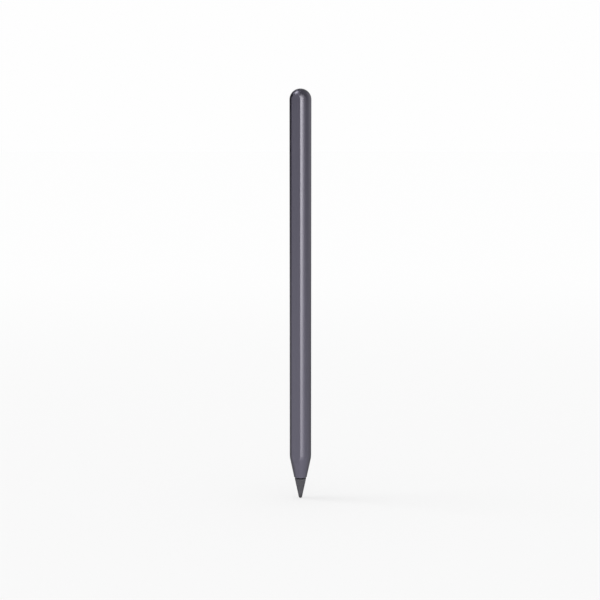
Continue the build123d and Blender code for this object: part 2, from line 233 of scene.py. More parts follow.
def flat_sided(line: Array, flat: Array | float, corner: Array | float) -> Array:
    """Rings of a circle that has one flat with round corners, one ring for each point of a profile.

    A point at angle b from -Y lies flat / cos b from the axis on the flat, at the ray's far crossing with
    the corner's circle on a corner, and at the radius elsewhere. The corner's circle touches the flat and
    the round, so its centre is radius - corner from the axis and flat - corner towards -Y. The columns
    keep to the flat's edges, so the edges stay clean where the flat runs out.

    Args:
        line: Profile points as radius of the round and height.
        flat: Distance of the flat from the axis.
        corner: Radius of the corners.

    Returns:
        Grid of points, one row for each profile point.
    """
    radius, height, flat, corner = np.broadcast_arrays(*line.T, flat, corner)
    least = math.radians(LEAST_DEGREES)
    rise = flat - corner
    side = np.sqrt(np.maximum((radius - corner) ** 2 - rise**2, 0.0)) * (radius > flat)
    flat_end = np.arctan2(side, flat)
    corner_end = np.arctan2(side, rise)
    flat_stop, corner_stop = np.maximum(flat_end, least / 2.0), np.maximum(corner_end, least)
    stops = np.column_stack((-flat_stop, flat_stop, corner_stop, TURN - corner_stop, TURN - flat_stop))
    part = np.repeat(np.arange(len(RING_COLUMNS)), RING_COLUMNS)
    share = np.concatenate([np.arange(count) / count for count in RING_COLUMNS])
    angle = stops[:, part] * (1.0 - share) + stops[:, part + 1] * share
    off = np.abs(np.angle(np.exp(1j * angle)))
    side, rise, corner = side[:, None], rise[:, None], corner[:, None]
    along = side * np.sin(off) + rise * np.cos(off)
    on_corner = along + np.sqrt(np.maximum(along**2 - side**2 - rise**2 + corner**2, 0.0))
    out = np.where(off < corner_end[:, None], on_corner, radius[:, None])
    out = np.where(off < flat_end[:, None], flat[:, None] / np.cos(off), out)
    z = np.broadcast_to(height[:, None], angle.shape)
    return np.stack((out * np.sin(angle), -out * np.cos(angle), z), axis=-1)


def tube(path: Array, outward: Array, across: tuple[float, float, float], section: Array) -> Array:
    """Rings of a section carried along a path: its first axis goes outward and its second one across."""
    first = section[None, :, :1] * outward[:, None, :]
    return path[:, None, :] + first + section[None, :, 1:] * np.array(across)


def surface(name: str, grid: Array, ends: Ends) -> Piece:
    """Make a mesh of a grid whose columns go right round, with quads between rows and fans at closed ends.

    Args:
        name: Name of the piece.
        grid: Points as rows, columns and coordinates; rows climb on the outside.
        ends: How the rows end.

    Returns:
        The new piece, in the scene's collection and smooth but for its hard edges.
    """
    body = grid[1:-1] if ends is Ends.POLES else grid
    rows, columns = body.shape[:2]
    points = body.reshape(-1, 3)
    here = np.arange(rows * columns).reshape(rows, columns)
    beside = np.roll(here, -1, axis=1)
    corners = np.stack((here, beside, np.roll(beside, -1, axis=0), np.roll(here, -1, axis=0)), axis=-1)
    faces = (corners if ends is Ends.LOOP else corners[:-1]).reshape(-1, 4).tolist()
    if ends in (Ends.POLES, Ends.CAPS):
        first = np.full(columns, len(points))
        faces += np.column_stack((first, beside[0], here[0])).tolist()
        faces += np.column_stack((here[-1], beside[-1], first + 1)).tolist()
        points = np.vstack((points, grid[0].mean(axis=0), grid[-1].mean(axis=0)))
    mesh = bpy.data.meshes.new(name)
    mesh.from_pydata(points.tolist(), [], faces)
    mesh.shade_smooth()
    mesh.set_sharp_from_angle(angle=math.radians(CREASE_DEGREES))
    made = bpy.data.objects.new(name, mesh)
    bpy.context.scene.collection.objects.link(made)
    return made


def linear(hex_colour: str) -> tuple[float, float, float, float]:
    """Turn an sRGB hex colour into linear red, green, blue and alpha, by the two parts of the sRGB curve.

    Args:
        hex_colour: Six hex digits after a hash.

    Returns:
        The linear colour with alpha 1.
    """
    srgb = np.array(list(bytes.fromhex(hex_colour[1:]))) / 255.0
    light = np.where(srgb <= 0.04045, srgb / 12.92, ((srgb + 0.055) / 1.055) ** 2.4)
    return (*light.tolist(), 1.0)


def per_size(size_mm: float) -> float:
    """Texture scale that gives a pattern's features this size in millimetres."""
    return 1.0 / (size_mm * MM)


def node(
    tree: Tree,
    kind: str,
    inputs: dict[str | int, Any] | None = None,
    links: dict[str | int, Socket] | None = None,
    **settings: Any,
) -> bpy.types.Node:
    """Add one node with its settings, input values and links.

    Args:
        tree: Node tree that gets the node.
        kind: Blender's name for the kind of node.
        inputs: Values by the input's name or number.
        links: Sockets that feed the inputs, by the input's name or number.
        settings: Properties of the node itself.

    Returns:
        The new node.
    """
    made = tree.nodes.new(kind)
    for name, value in settings.items():
        setattr(made, name, value)
    for name, value in (inputs or {}).items():
        made.inputs[name].default_value = value
    for name, socket in (links or {}).items():
        tree.links.new(socket, made.inputs[name])
    return made


@dataclass(frozen=True)
class Taper:
    """Cone that the nib and the barrel's nose share, with the ball of the nib's point in its tip."""

    degrees: float = 12.1
    point_radius: float = 0.72 * MM

    @property
    def slope(self) -> float:
        """Growth of the radius with the height."""
        return math.tan(math.radians(self.degrees))

    def radius(self, height: float) -> float:
        """Radius at a height: the slope times the way from the apex, which lies below the point."""
        apex = self.point_radius * (1.0 / math.sin(math.radians(self.degrees)) - 1.0)
        return (height + apex) * self.slope


@dataclass(frozen=True)
class Thread:
    """Fine right-hand thread shared by the stem and the insert."""

    pitch: float = 0.35 * MM
    crest: float = 0.8 * MM
    root: float = 0.585 * MM
    clearance: float = 0.035 * MM
    flank_shares: Point = (0.08, 0.39)
    rows: int = 113

    def radius(self, height: Array) -> Array:
        """Radius round the axis: crest to root along straight flanks, with the helix as its phase."""
        phase = (height / self.pitch - angles() / TURN) % 1.0
        return np.interp(np.abs(phase - 0.5), self.flank_shares, (self.crest, self.root))


TAPER = Taper()
THREAD = Thread()


@dataclass(frozen=True)
class Finish:
    """One real material with the way its surface was made.

    The pattern's value mixes the two colours, moves the roughness between its two ends and raises the
    surface by the relief. A swell is a larger and softer form that the relief follows instead, and painted
    shade darkens the colour below a height of the piece.
    """

    name: str
    colours: tuple[str, str]
    roughness: Point
    pattern: Pattern
    size_mm: float
    relief_mm: float = 0.0
    metallic: float = 0.0
    ior: float = 1.5
    coat: float = 0.0
    coat_roughness: float = 0.1
    stretch: tuple[float, float, float] = (1.0, 1.0, 1.0)
    swell_mm: float = 0.0
    # Painted shade: the colour that the finish darkens to low on the piece, and the heights in millimetres
    # where it fades in
    painted_shade_colour: str = ""
    painted_shade_mm: Point = (0.0, 0.0)
    slot: str = ""

    def pattern_value(self, tree: Tree) -> Socket:
        """Add the pattern's nodes.

        Args:
            tree: The material's node tree.

        Returns:
            Socket with the pattern's value from 0 to 1.
        """
        place = {"Vector": node(tree, "ShaderNodeTexCoord").outputs["Object"]}
        laid = node(tree, "ShaderNodeMapping", {"Scale": self.stretch}, place)
        vector = {"Vector": laid.outputs["Vector"]}
        scale = per_size(self.size_mm)
        if self.pattern is Pattern.CLOUD:
            noise = {"Scale": scale, "Detail": 4.0, "Roughness": 0.6}
            return node(tree, "ShaderNodeTexNoise", noise, vector).outputs["Fac"]
        if self.pattern is Pattern.CELLS:
            cells = node(tree, "ShaderNodeTexVoronoi", {"Scale": scale}, vector)
            return node(tree, "ShaderNodeSeparateColor", None, {0: cells.outputs["Color"]}).outputs[0]
        if self.pattern is Pattern.PORES:
            return node(tree, "ShaderNodeTexVoronoi", {"Scale": scale}, vector).outputs["Distance"]
        bands = {"Scale": scale / WAVE_BANDS, "Distortion": 0.6, "Detail": 2.0}
        waves = {
            axis: node(tree, "ShaderNodeTexWave", bands, vector, bands_direction=axis).outputs["Fac"]
            for axis in "XYZ"
        }
        joined = {0: node(tree, "ShaderNodeCombineXYZ", None, waves).outputs["Vector"]}
        shares = {1: BAND_SHARES[self.pattern]}
        return node(tree, "ShaderNodeVectorMath", shares, joined, operation="DOT_PRODUCT").outputs["Value"]

    def paint_shade(self, tree: Tree, shade: Socket) -> Socket:
        """Fade the colour to the painted shade one by a smooth step of the height: painted shade low on the
        piece.

        Args:
            tree: The material's node tree.
            shade: Socket with the colour before the painted shade.

        Returns:
            Socket with the faded colour.
        """
        place = node(tree, "ShaderNodeTexCoord")
        height = node(tree, "ShaderNodeSeparateXYZ", None, {0: place.outputs["Object"]}).outputs["Z"]
        span = {"From Min": self.painted_shade_mm[0] * MM, "From Max": self.painted_shade_mm[1] * MM}
        share = node(tree, "ShaderNodeMapRange", span, {"Value": height}, interpolation_type="SMOOTHSTEP")
        links = {0: share.outputs["Result"], COLOUR_B: shade}
        faded = node(tree, "ShaderNodeMix", {COLOUR_A: linear(self.painted_shade_colour)}, links, data_type="RGBA")
        return faded.outputs[COLOUR_OUT]

    def raise_surface(self, tree: Tree, value: Socket, normal: Socket) -> None:
        """Bump the surface by the relief, which follows the pattern or, where there is one, the swell.

        Args:
            tree: The material's node tree.
            value: Socket with the pattern's value.
            normal: The shader's normal socket.
        """
        if self.swell_mm:
            place = {"Vector": node(tree, "ShaderNodeTexCoord").outputs["Object"]}
            noise = {"Scale": per_size(self.swell_mm), "Detail": 1.0}
            value = node(tree, "ShaderNodeTexNoise", noise, place).outputs["Fac"]
        if self.relief_mm:
            bump = node(tree, "ShaderNodeBump", {"Distance": self.relief_mm * MM}, {"Height": value})
            tree.links.new(bump.outputs["Normal"], normal)

    def material(self) -> bpy.types.Material:
        """Make the node material, or give the one that is already made.

        Returns:
            The material.
        """
        found = bpy.data.materials.get(self.name)
        if found:
            return found
        made = bpy.data.materials.new(self.name)
        made.use_nodes = True
        tree = made.node_tree
        shader = tree.nodes["Principled BSDF"]
        shader.inputs["Metallic"].default_value = self.metallic
        shader.inputs["IOR"].default_value = self.ior
        shader.inputs["Coat Weight"].default_value = self.coat
        shader.inputs["Coat Roughness"].default_value = self.coat_roughness
        value = self.pattern_value(tree)
        low, high = (linear(colour) for colour in self.colours)
        mixed = node(tree, "ShaderNodeMix", {COLOUR_A: low, COLOUR_B: high}, {0: value}, data_type="RGBA")
        shade = mixed.outputs[COLOUR_OUT]
        span = {"To Min": self.roughness[0], "To Max": self.roughness[1]}
        rough = node(tree, "ShaderNodeMapRange", span, {"Value": value})
        # Painted shade, where the finish has it, darkens the colour low on the piece
        tree.links.new(self.paint_shade(tree, shade) if self.painted_shade_colour else shade, shader.inputs["Base Color"])
        tree.links.new(rough.outputs["Result"], shader.inputs["Roughness"])
        self.raise_surface(tree, value, shader.inputs["Normal"])
        return made

    def cover(self, name: str) -> None:
        """Dress a solid that keeps its own shape.

        Args:
            name: Name of the solid.
        """
        for place in frame["nodes"][name].material_slots:
            place.material = self.material()
        log.info("%s: kept, in %s", name, self.name)

    def fit(self, piece: Piece, body: str, solid: str) -> None:
        """Dress a new piece, hang it on a body and let it stand for a solid.

        Args:
            piece: The new piece.
            body: Body that it moves with.
            solid: Solid that it stands for.
        """
        piece.data.materials.append(self.material())
        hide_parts(solid)
        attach(piece, body)
        log.info("%s: %d faces on %s, for %s", piece.name, len(piece.data.polygons), body, solid)


# Satin lacquer with metal flake on polycarbonate: a soft purple-grey sheen that shows no grain at arm's
# length. The flake is drawn several times its size, so that it shows from close by
LACQUER = Finish(
    "satin_flake_lacquer_on_polycarbonate", ("#595667", "#5f5c6d"), (0.42, 0.48), Pattern.CELLS, 0.12,
    relief_mm=0.0008, metallic=1.0, coat=1.0, coat_roughness=0.3, swell_mm=1.2, slot="lacquered_shell",
)
# Conductive acetal from a spark-eroded mould: neutral dark grey, matt, with a grain drawn coarser than it is
# and painted shade that darkens it towards the point, low by the floor
NIB_ACETAL = Finish(
    "moulded_conductive_acetal", ("#434248", "#4c4b52"), (0.5, 0.62), Pattern.CLOUD, 0.16, relief_mm=0.006,
    ior=1.48, painted_shade_colour="#2c2b30", painted_shade_mm=(0.3, 2.4), slot="nib_plastic",
)
# Glass-filled nylon: near black, dull, with pale flecks of fibre drawn larger than they are
GLASS_NYLON = Finish(
    "moulded_glass_filled_nylon", ("#222224", "#323235"), (0.5, 0.7), Pattern.CLOUD, 0.4, relief_mm=0.004,
    ior=1.53, stretch=(1.0, 1.0, 0.3),
)
# Drawn stainless wire, wound for the spring and headed for the screws: bright, with a faint mottle
DRAWN_STEEL = Finish(
    "drawn_stainless_steel_wire", ("#b9babd", "#d0d1d3"), (0.2, 0.34), Pattern.CLOUD, 0.3, metallic=1.0,
    slot="turned_steel",
)
# Black oxide on turned steel: dark metal, which keeps the gap at the nib dark, with faint rings left by the
# tool, drawn wider than a fine cut leaves them
OXIDE_STEEL = Finish(
    "black_oxide_turned_steel", ("#2b2b2d", "#38383a"), (0.34, 0.46), Pattern.RINGS, 0.06, relief_mm=0.001,
    metallic=1.0, slot="turned_steel",
)
# Tinned pressed steel: pale grey metal with faint cloudy spangle
TINNED_STEEL = Finish(
    "tinned_pressed_steel", ("#c2c3c3", "#d6d7d6"), (0.25, 0.4), Pattern.CLOUD, 0.8, metallic=1.0,
)
# Turned brass: warm yellow metal with rings left by the tool, drawn wider than a fine cut leaves them
TURNED_BRASS = Finish(
    "turned_brass", ("#c9a65a", "#dcbc74"), (0.22, 0.36), Pattern.RINGS, 0.07, relief_mm=0.001, metallic=1.0,
    slot="brass",
)
# Moulded silicone rubber: dark, soft sheen, slightly dusty
SILICONE = Finish(
    "moulded_silicone_rubber", ("#37373a", "#404044"), (0.55, 0.7), Pattern.CLOUD, 0.5, ior=1.41,
    slot="silicone",
)
# Closed-cell foam: dead matt, with round pores
FOAM = Finish(
    "closed_cell_foam", ("#2c2c2e", "#47474a"), (0.85, 0.95), Pattern.PORES, 0.22, relief_mm=0.05,
    slot="foam",
)
# Glass epoxy under green solder mask: the weave shows through the gloss
SOLDER_MASK = Finish(
    "solder_masked_glass_epoxy", ("#1d5a38", "#24683f"), (0.3, 0.42), Pattern.WEAVE, 0.4, coat=0.4,
    coat_roughness=0.2, ior=1.55,
)
# Epoxy chip package: black and matt from the mould, with a grain drawn coarser than it is
CHIP_EPOXY = Finish(
    "moulded_chip_epoxy", ("#232325", "#2e2e30"), (0.55, 0.7), Pattern.CLOUD, 0.15, relief_mm=0.003,
)
# Polyimide film over copper tracks: amber and glossy, with a paler stripe along each track
POLYIMIDE = Finish("polyimide_film", ("#a8681f", "#c6812c"), (0.2, 0.3), Pattern.TRACKS, 0.5, ior=1.7)
# Enamelled copper wire: red-gold metal under clear enamel
ENAMELLED_COPPER = Finish(
    "enamelled_copper_wire", ("#b8673f", "#cf7d50"), (0.25, 0.35), Pattern.CLOUD, 0.6, metallic=1.0, coat=0.6,
    coat_roughness=0.12, slot="copper",
)
# Sintered ferrite: dark grey ceramic, slightly sparkling, with grains drawn larger than they are
SINTERED_FERRITE = Finish(
    "sintered_ferrite", ("#3a3a3c", "#505053"), (0.5, 0.65), Pattern.CELLS, 0.1, relief_mm=0.004, ior=2.2,
)
# Nickel plating on a magnet: warm silver, nearly a mirror
NICKEL = Finish("nickel_plate", ("#c5c0b6", "#d2cdc3"), (0.12, 0.22), Pattern.CLOUD, 1.2, metallic=1.0)
# Heat-shrunk film on a steel cell: blue and glossy
CELL_FILM = Finish(
    "heat_shrunk_cell_film", ("#4f6f9b", "#5878a6"), (0.2, 0.32), Pattern.CLOUD, 2.5, relief_mm=0.01,
    ior=1.57, slot="cell",
)
# Fired alumina: off-white and matt, with a grain drawn coarser than it is
FIRED_ALUMINA = Finish(
    "fired_alumina", ("#d6d2c8", "#e2ded5"), (0.45, 0.6), Pattern.CLOUD, 0.2, relief_mm=0.002, ior=1.76,
)


@dataclass
class Shell:
    """Barrel and domed end cap, one outside form parted by a hairline where the dome begins.

    The spigot that plugs the cap into the barrel has the section of the foam pad under it. The dome's angles
    are in degrees up from the seam: where it starts, and a little above the flat's run-out.
    """

    barrel: Box = Box.of("barrel")
    end_cap: Box = Box.of("end_cap")
    spigot: Box = Box.of("tail_pad")
    gasket: Box = Box.of("cap_gasket")
    wall: float = 0.8 * MM
    flat_round: float = 0.5 * MM
    bore_corner: float = 0.1 * MM
    shoulder_round: float = 11.0 * MM
    nose_step: float = 0.135 * MM
    nose_edge: float = 0.12 * MM
    nose_land: float = 1.2 * MM
    nose_wall: float = 0.85 * MM
    nose_bore: float = 1.6 * MM
    seam_edge: float = 0.03 * MM
    spigot_lead: float = 0.2 * MM
    spigot_wall: float = 0.6 * MM
    groove_depth: float = 0.35 * MM
    groove_fit: float = 0.02 * MM
    dome_start: float = 0.5
    run_out: float = 30.0

    @property
    def nose_radius(self) -> float:
        """Outer radius at the nose's end, a small step out from the nib's cone."""
        return TAPER.radius(self.barrel.low) + self.nose_step

    @property
    def hollow_radius(self) -> float:
        """Radius of the hollow in the spigot."""
        return -self.spigot.front - self.groove_depth - self.spigot_wall

    def outside(self) -> Array:
        """Profile of the barrel's outside: round nose edge, straight taper, shoulder arc, straight wall.

        Returns:
            Points from the nose up to the seam.
        """
        lean, bend, edge = TAPER.degrees, self.shoulder_round, self.seam_edge
        radius, low, high = self.barrel.back, self.barrel.low, self.barrel.high
        rim = self.nose_radius - inset(self.nose_edge, -lean)
        corner_z = low + (radius - self.nose_radius) / TAPER.slope
        bend_z = corner_z + bend * math.tan(math.radians(lean) / 2.0)
        nose = arc((rim, low + self.nose_edge), self.nose_edge, -90, -lean)
        shoulder = arc((radius - bend, bend_z), bend, -lean, 0, ROWS)
        seam = arc((radius - edge, high - edge), edge, 0, 90)
        taper = run(nose[-1], shoulder[0], FINE_ROWS)
        return profile(nose, taper, shoulder, run(shoulder[-1], seam[0], ROWS), seam)

    def make_barrel(self) -> Piece:
        """Build the barrel: the outside up to the seam, then the bore back down to the nose hole.

        The flat sinks with the seam's round edge, so that the hairline runs right round.

        Returns:
            The barrel.
        """
        radius, flat, low, high = self.barrel.back, -self.barrel.front, self.barrel.low, self.barrel.high
        bore, land_z = radius - self.wall, low + self.nose_land
        land = self.nose_radius + self.nose_land * TAPER.slope - self.nose_wall
        taper_z = land_z + (bore - land) / TAPER.slope
        outer = self.outside()
        inner = profile(
            run((bore, high), (bore, taper_z), ROWS),
            run((bore, taper_z), (land, land_z), FINE_ROWS),
            (self.nose_bore, land_z), (self.nose_bore, low),
        )
        sink = np.where(outer[:, 1] > high - self.seam_edge, radius - outer[:, 0], 0.0)
        flats = np.concatenate((flat - sink, np.full(len(inner), flat - self.wall)))
        corners = np.repeat((self.flat_round, self.bore_corner), (len(outer), len(inner)))
        return surface("barrel_shell", flat_sided(np.vstack((outer, inner)), flats, corners), Ends.LOOP)

    def make_end_cap(self) -> Piece:
        """Build the cap: hollow, spigot with its seal groove, and the dome, a quarter circle turned.

        Returns:
            The cap.
        """
        radius, flat, low, seam_z = self.barrel.back, -self.barrel.front, self.end_cap.low, self.barrel.high
        plug, hollow = self.spigot.back, self.hollow_radius
        groove, edge = plug - self.groove_depth, self.seam_edge
        groove_low, groove_high = self.gasket.low - self.groove_fit, self.gasket.high + self.groove_fit
        inside = profile((0.0, seam_z), (hollow, seam_z), (hollow, low))
        spigot = profile(
            (plug - self.spigot_lead, low), (plug, low + self.spigot_lead),
            (plug, groove_low), (groove, groove_low), (groove, groove_high), (plug, groove_high),
            (plug, seam_z),
        )
        seam = arc((radius - edge, seam_z + edge), edge, -90, 0)
        dome = profile(
            arc((0.0, seam_z), radius, self.dome_start, self.run_out, FINE_ROWS),
            arc((0.0, seam_z), radius, self.run_out, 90, ROWS),
        )
        flats = np.concatenate((
            np.full(len(inside), NO_FLAT),
            spigot[:, 0] - plug - self.spigot.front,
            seam[:, 0] - radius + flat,
            np.full(len(dome), flat),
        ))
        hidden, shown = len(inside) + len(spigot), len(seam) + len(dome)
        corners = np.repeat((self.bore_corner, self.flat_round), (hidden, shown))
        grid = flat_sided(np.vstack((inside, spigot, seam, dome)), flats, corners)
        return surface("end_cap_dome", grid, Ends.POLES)

    def build(self) -> None:
        """Build and dress both pieces."""
        LACQUER.fit(self.make_barrel(), "barrel", "barrel")
        LACQUER.fit(self.make_end_cap(), "barrel", "end_cap")


@dataclass
class Nib:
    """Screw-on nib with the threaded insert moulded into it and the washer that it closes on."""

    nib: Box = Box.of("nib")
    insert: Box = Box.of("nib_insert")
    washer: Box = Box.of("nib_washer")
    edge: float = 0.12 * MM
    socket_fit: float = 0.05 * MM
    insert_fit: float = 0.02 * MM
    bore: float = 0.85 * MM
    relief_depth: float = 0.6 * MM
    knurl_depth: float = 0.06 * MM
    knurl_teeth: int = 26
    waist_depth: float = 0.1 * MM
    waist_shares: Point = (0.08, 0.163)
    washer_edge: float = 0.13 * MM

    def make_nib(self) -> Piece:
        """Build the nib: a round point on a straight cone, turned, then its stepped socket down the middle.

        Returns:
            The nib.
        """
        ball, top, low, high = TAPER.point_radius, self.nib.high, self.insert.low, self.insert.high
        point = arc((0.0, ball), ball, -90, -TAPER.degrees, ROWS)
        rim = TAPER.radius(top) - inset(self.edge, TAPER.degrees)
        edge = arc((rim, top - self.edge), self.edge, -TAPER.degrees, 90)
        socket, pocket = self.washer.right + self.socket_fit, self.insert.right + self.insert_fit
        line = profile(
            point,
            run(point[-1], edge[0], ROWS),
            edge,
            (socket, top), (socket, high),
            (pocket, high), (pocket, low),
            (self.bore, low), (self.bore, low - self.relief_depth), (0.0, low - self.relief_depth),
        )
        return surface("nib_cone", lathe(line), Ends.POLES)

    def make_insert(self) -> Piece:
        """Build the insert: two knurled bands with a waist between them, and a thread down its bore.

        The outside is the radius less a cosine tooth in each band and less the waist between them. The bore
        is the stem's thread with clearance all round.

        Returns:
            The insert.
        """
        low, high = self.insert.low, self.insert.high
        share = np.linspace(0.0, 1.0, FINE_ROWS + 1)[:, None]
        band = np.interp(np.abs(share - 0.5), self.waist_shares, (0.0, 1.0))
        tooth = 0.5 - 0.5 * np.cos(self.knurl_teeth * angles())
        outer = self.insert.right - self.waist_depth * (1.0 - band) - self.knurl_depth * band * tooth
        inner_z = np.linspace(high, low, THREAD.rows)[:, None]
        inner = THREAD.radius(inner_z) + THREAD.clearance
        grid = turned(np.vstack((outer, inner)), np.vstack((low + (high - low) * share, inner_z)))
        return surface("nib_thread_insert", grid, Ends.LOOP)

    def make_washer(self) -> Piece:
        """Build the washer: a rectangle with round corners, turned."""
        low, high = (self.bore, self.washer.low), (self.washer.right, self.washer.high)
        return surface("nib_soft_washer", lathe(rounded_box(low, high, self.washer_edge)), Ends.LOOP)

    def build(self) -> None:
        """Build and dress the three pieces."""
        NIB_ACETAL.fit(self.make_nib(), "nib", "nib")
        TURNED_BRASS.fit(self.make_insert(), "nib", "nib_insert")
        SILICONE.fit(self.make_washer(), "washer", "nib_washer")


@dataclass
class Plunger:
    """Steel stem that the nib screws on, and the spring behind its collar."""

    stem: Box = Box.of("nib_stem")
    washer: Box = Box.of("nib_washer")
    bush: Box = Box.of("nose_bush")
    spring: Box = Box.of("return_spring")
    spring_top: float = joint("nib_press")["deforming_nodes"][0]["fixed_end_z_m"]
    press: float = joint("nib_press")["range_m"][1]
    collar_height: float = 0.7 * MM
    tip_chamfer: float = 0.2 * MM
    thread_relief: float = 0.3 * MM
    shaft_edge: float = 0.06 * MM
    collar_edge: float = 0.08 * MM
    pin_clearance: float = 0.35 * MM
    pin_edge: float = 0.2 * MM
    wire: float = 0.3 * MM
    active_turns: float = 4.0
    closed_turns: float = 0.75
    steps_a_turn: int = 48
    wire_sides: int = 16

    @property
    def collar_top(self) -> float:
        """Height of the collar's rear face, which the spring stands on."""
        return self.bush.high + self.collar_height

    def make_stem(self) -> Piece:
        """Build the stem: a cut thread, then a turned shaft, collar and pin.

        The thread's radius follows the helix; the rest is a profile that is the same all round.

        Returns:
            The stem.
        """
        tip_z, seat_z, collar_z, top = self.stem.low, self.washer.high, self.bush.high, self.stem.high
        shaft, collar, edge = self.washer.right, self.stem.right, self.collar_edge
        pin, pin_bend = self.spring.back - self.wire - self.pin_clearance, top - self.pin_edge
        thread_end = seat_z - self.thread_relief
        thread_z = np.linspace(tip_z, thread_end, THREAD.rows)[:, None]
        chamfer = THREAD.crest - self.tip_chamfer + (thread_z - tip_z)
        thread = np.minimum(THREAD.radius(thread_z), chamfer)
        line = profile(
            (THREAD.root, thread_end), (THREAD.root, seat_z),
            arc((shaft - self.shaft_edge, seat_z + self.shaft_edge), self.shaft_edge, -90, 0),
            (shaft, collar_z),
            arc((collar - edge, collar_z + edge), edge, -90, 0),
            arc((collar - edge, self.collar_top - edge), edge, 0, 90),
            (pin, self.collar_top),
            arc((pin - self.pin_edge, pin_bend), self.pin_edge, 0, 90),
            (0.0, top),
        )
        tip = lathe(np.array([(0.0, tip_z)]))
        grid = np.vstack((tip, turned(thread, thread_z), lathe(line)))
        return surface("nib_stem_threaded", grid, Ends.POLES)

    def make_spring(self) -> Piece:
        """Build the spring: a round wire on a helix that climbs by its own thickness at the two closed ends.

        Returns:
            The spring.
        """
        half = self.wire / 2.0
        turns = self.active_turns + 2.0 * self.closed_turns
        low, high = self.collar_top + half, self.spring_top - half
        closed = self.closed_turns * self.wire
        climb = np.linspace(0.0, turns, round(turns * self.steps_a_turn) + 1)
        stops = (0.0, self.closed_turns, turns - self.closed_turns, turns)
        height = np.interp(climb, stops, (low, low + closed, high - closed, high))
        outward = np.column_stack((np.cos(TURN * climb), np.sin(TURN * climb), np.zeros_like(climb)))
        path = (self.spring.back - half) * outward + height[:, None] * UP
        section = arc((0.0, 0.0), half, 0, -360, self.wire_sides)[:-1]
        return surface("return_spring_coil", tube(path, outward, UP, section), Ends.CAPS)

    def build(self) -> None:
        """Build and dress both pieces, and give the spring a mesh of its own."""
        OXIDE_STEEL.fit(self.make_stem(), "stem", "nib_stem")
        spring = self.make_spring()
        DRAWN_STEEL.fit(spring, "barrel", "return_spring")
        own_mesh(spring)


@dataclass
class Seals:
    """Soft pieces: the cap's gasket and the foam pads behind the chassis and the cell."""

    tail_hole: float
    gasket: Box = Box.of("cap_gasket")
    tail_pad: Box = Box.of("tail_pad")
    cell_pad: Box = Box.of("battery_pad")
    gasket_depth: float = 0.36 * MM
    gasket_lip: float = 0.14 * MM
    corner: float = 0.1 * MM
    bulge: float = 0.14 * MM
    fill: float = 0.9

    def make_gasket(self) -> Piece:
        """Build the gasket: two lips, the squared sine of two half waves, carried round the flat-sided ring.

        Returns:
            The gasket.
        """
        share = np.linspace(0.0, 1.0, ROWS + 1)
        lips = self.gasket_lip * (1.0 - np.sin(TURN * share) ** 2)
        sink = np.concatenate((lips, (self.gasket_depth, self.gasket_depth)))
        rise = (self.gasket.high - self.gasket.low) * np.concatenate((share, (1.0, 0.0)))
        line = np.column_stack((self.gasket.back - sink, self.gasket.low + rise))
        return surface("cap_gasket_lips", flat_sided(line, -self.gasket.front - sink, self.corner), Ends.LOOP)

    def swell(self, pad: Box) -> tuple[Array, Array]:
        """Sink and height of a bulged side: the bulge times the fourth power of the way from the middle."""
        share = np.sin(np.linspace(-0.5, 0.5, 2 * EDGE_STEPS + 1) * math.pi)
        return self.bulge * share**4, pad.axis_z + share * (pad.high - pad.low) / 2.0

    def make_tail_pad(self) -> Piece:
        """Build the pad behind the chassis: a bulged flat-sided ring with a round hole.

        Returns:
            The pad.
        """
        sink, height = self.swell(self.tail_pad)
        outer = np.column_stack((self.tail_pad.back - sink, height))
        inner = np.column_stack((self.tail_hole + sink, height))[::-1]
        flats = np.concatenate((-self.tail_pad.front - sink, np.full(len(sink), NO_FLAT)))
        grid = flat_sided(np.vstack((outer, inner)), flats, self.corner)
        return surface("tail_foam_pad", grid, Ends.LOOP)

    def make_cell_pad(self) -> Piece:
        """Build the pad behind the cell: a bulged disc, turned about the cell's axis.

        Returns:
            The pad.
        """
        sink, height = self.swell(self.cell_pad)
        side = np.column_stack((self.cell_pad.right - sink, height))
        line = profile((0.0, self.cell_pad.low), side, (0.0, self.cell_pad.high))
        return surface("cell_foam_pad", lathe(line, self.cell_pad.axis_y), Ends.POLES)

    def build(self) -> None:
        """Build and dress the three pieces."""
        SILICONE.fit(self.make_gasket(), "barrel", "cap_gasket")
        for pad, solid in ((self.make_tail_pad(), "tail_pad"), (self.make_cell_pad(), "battery_pad")):
            FOAM.fit(pad, "barrel", solid)


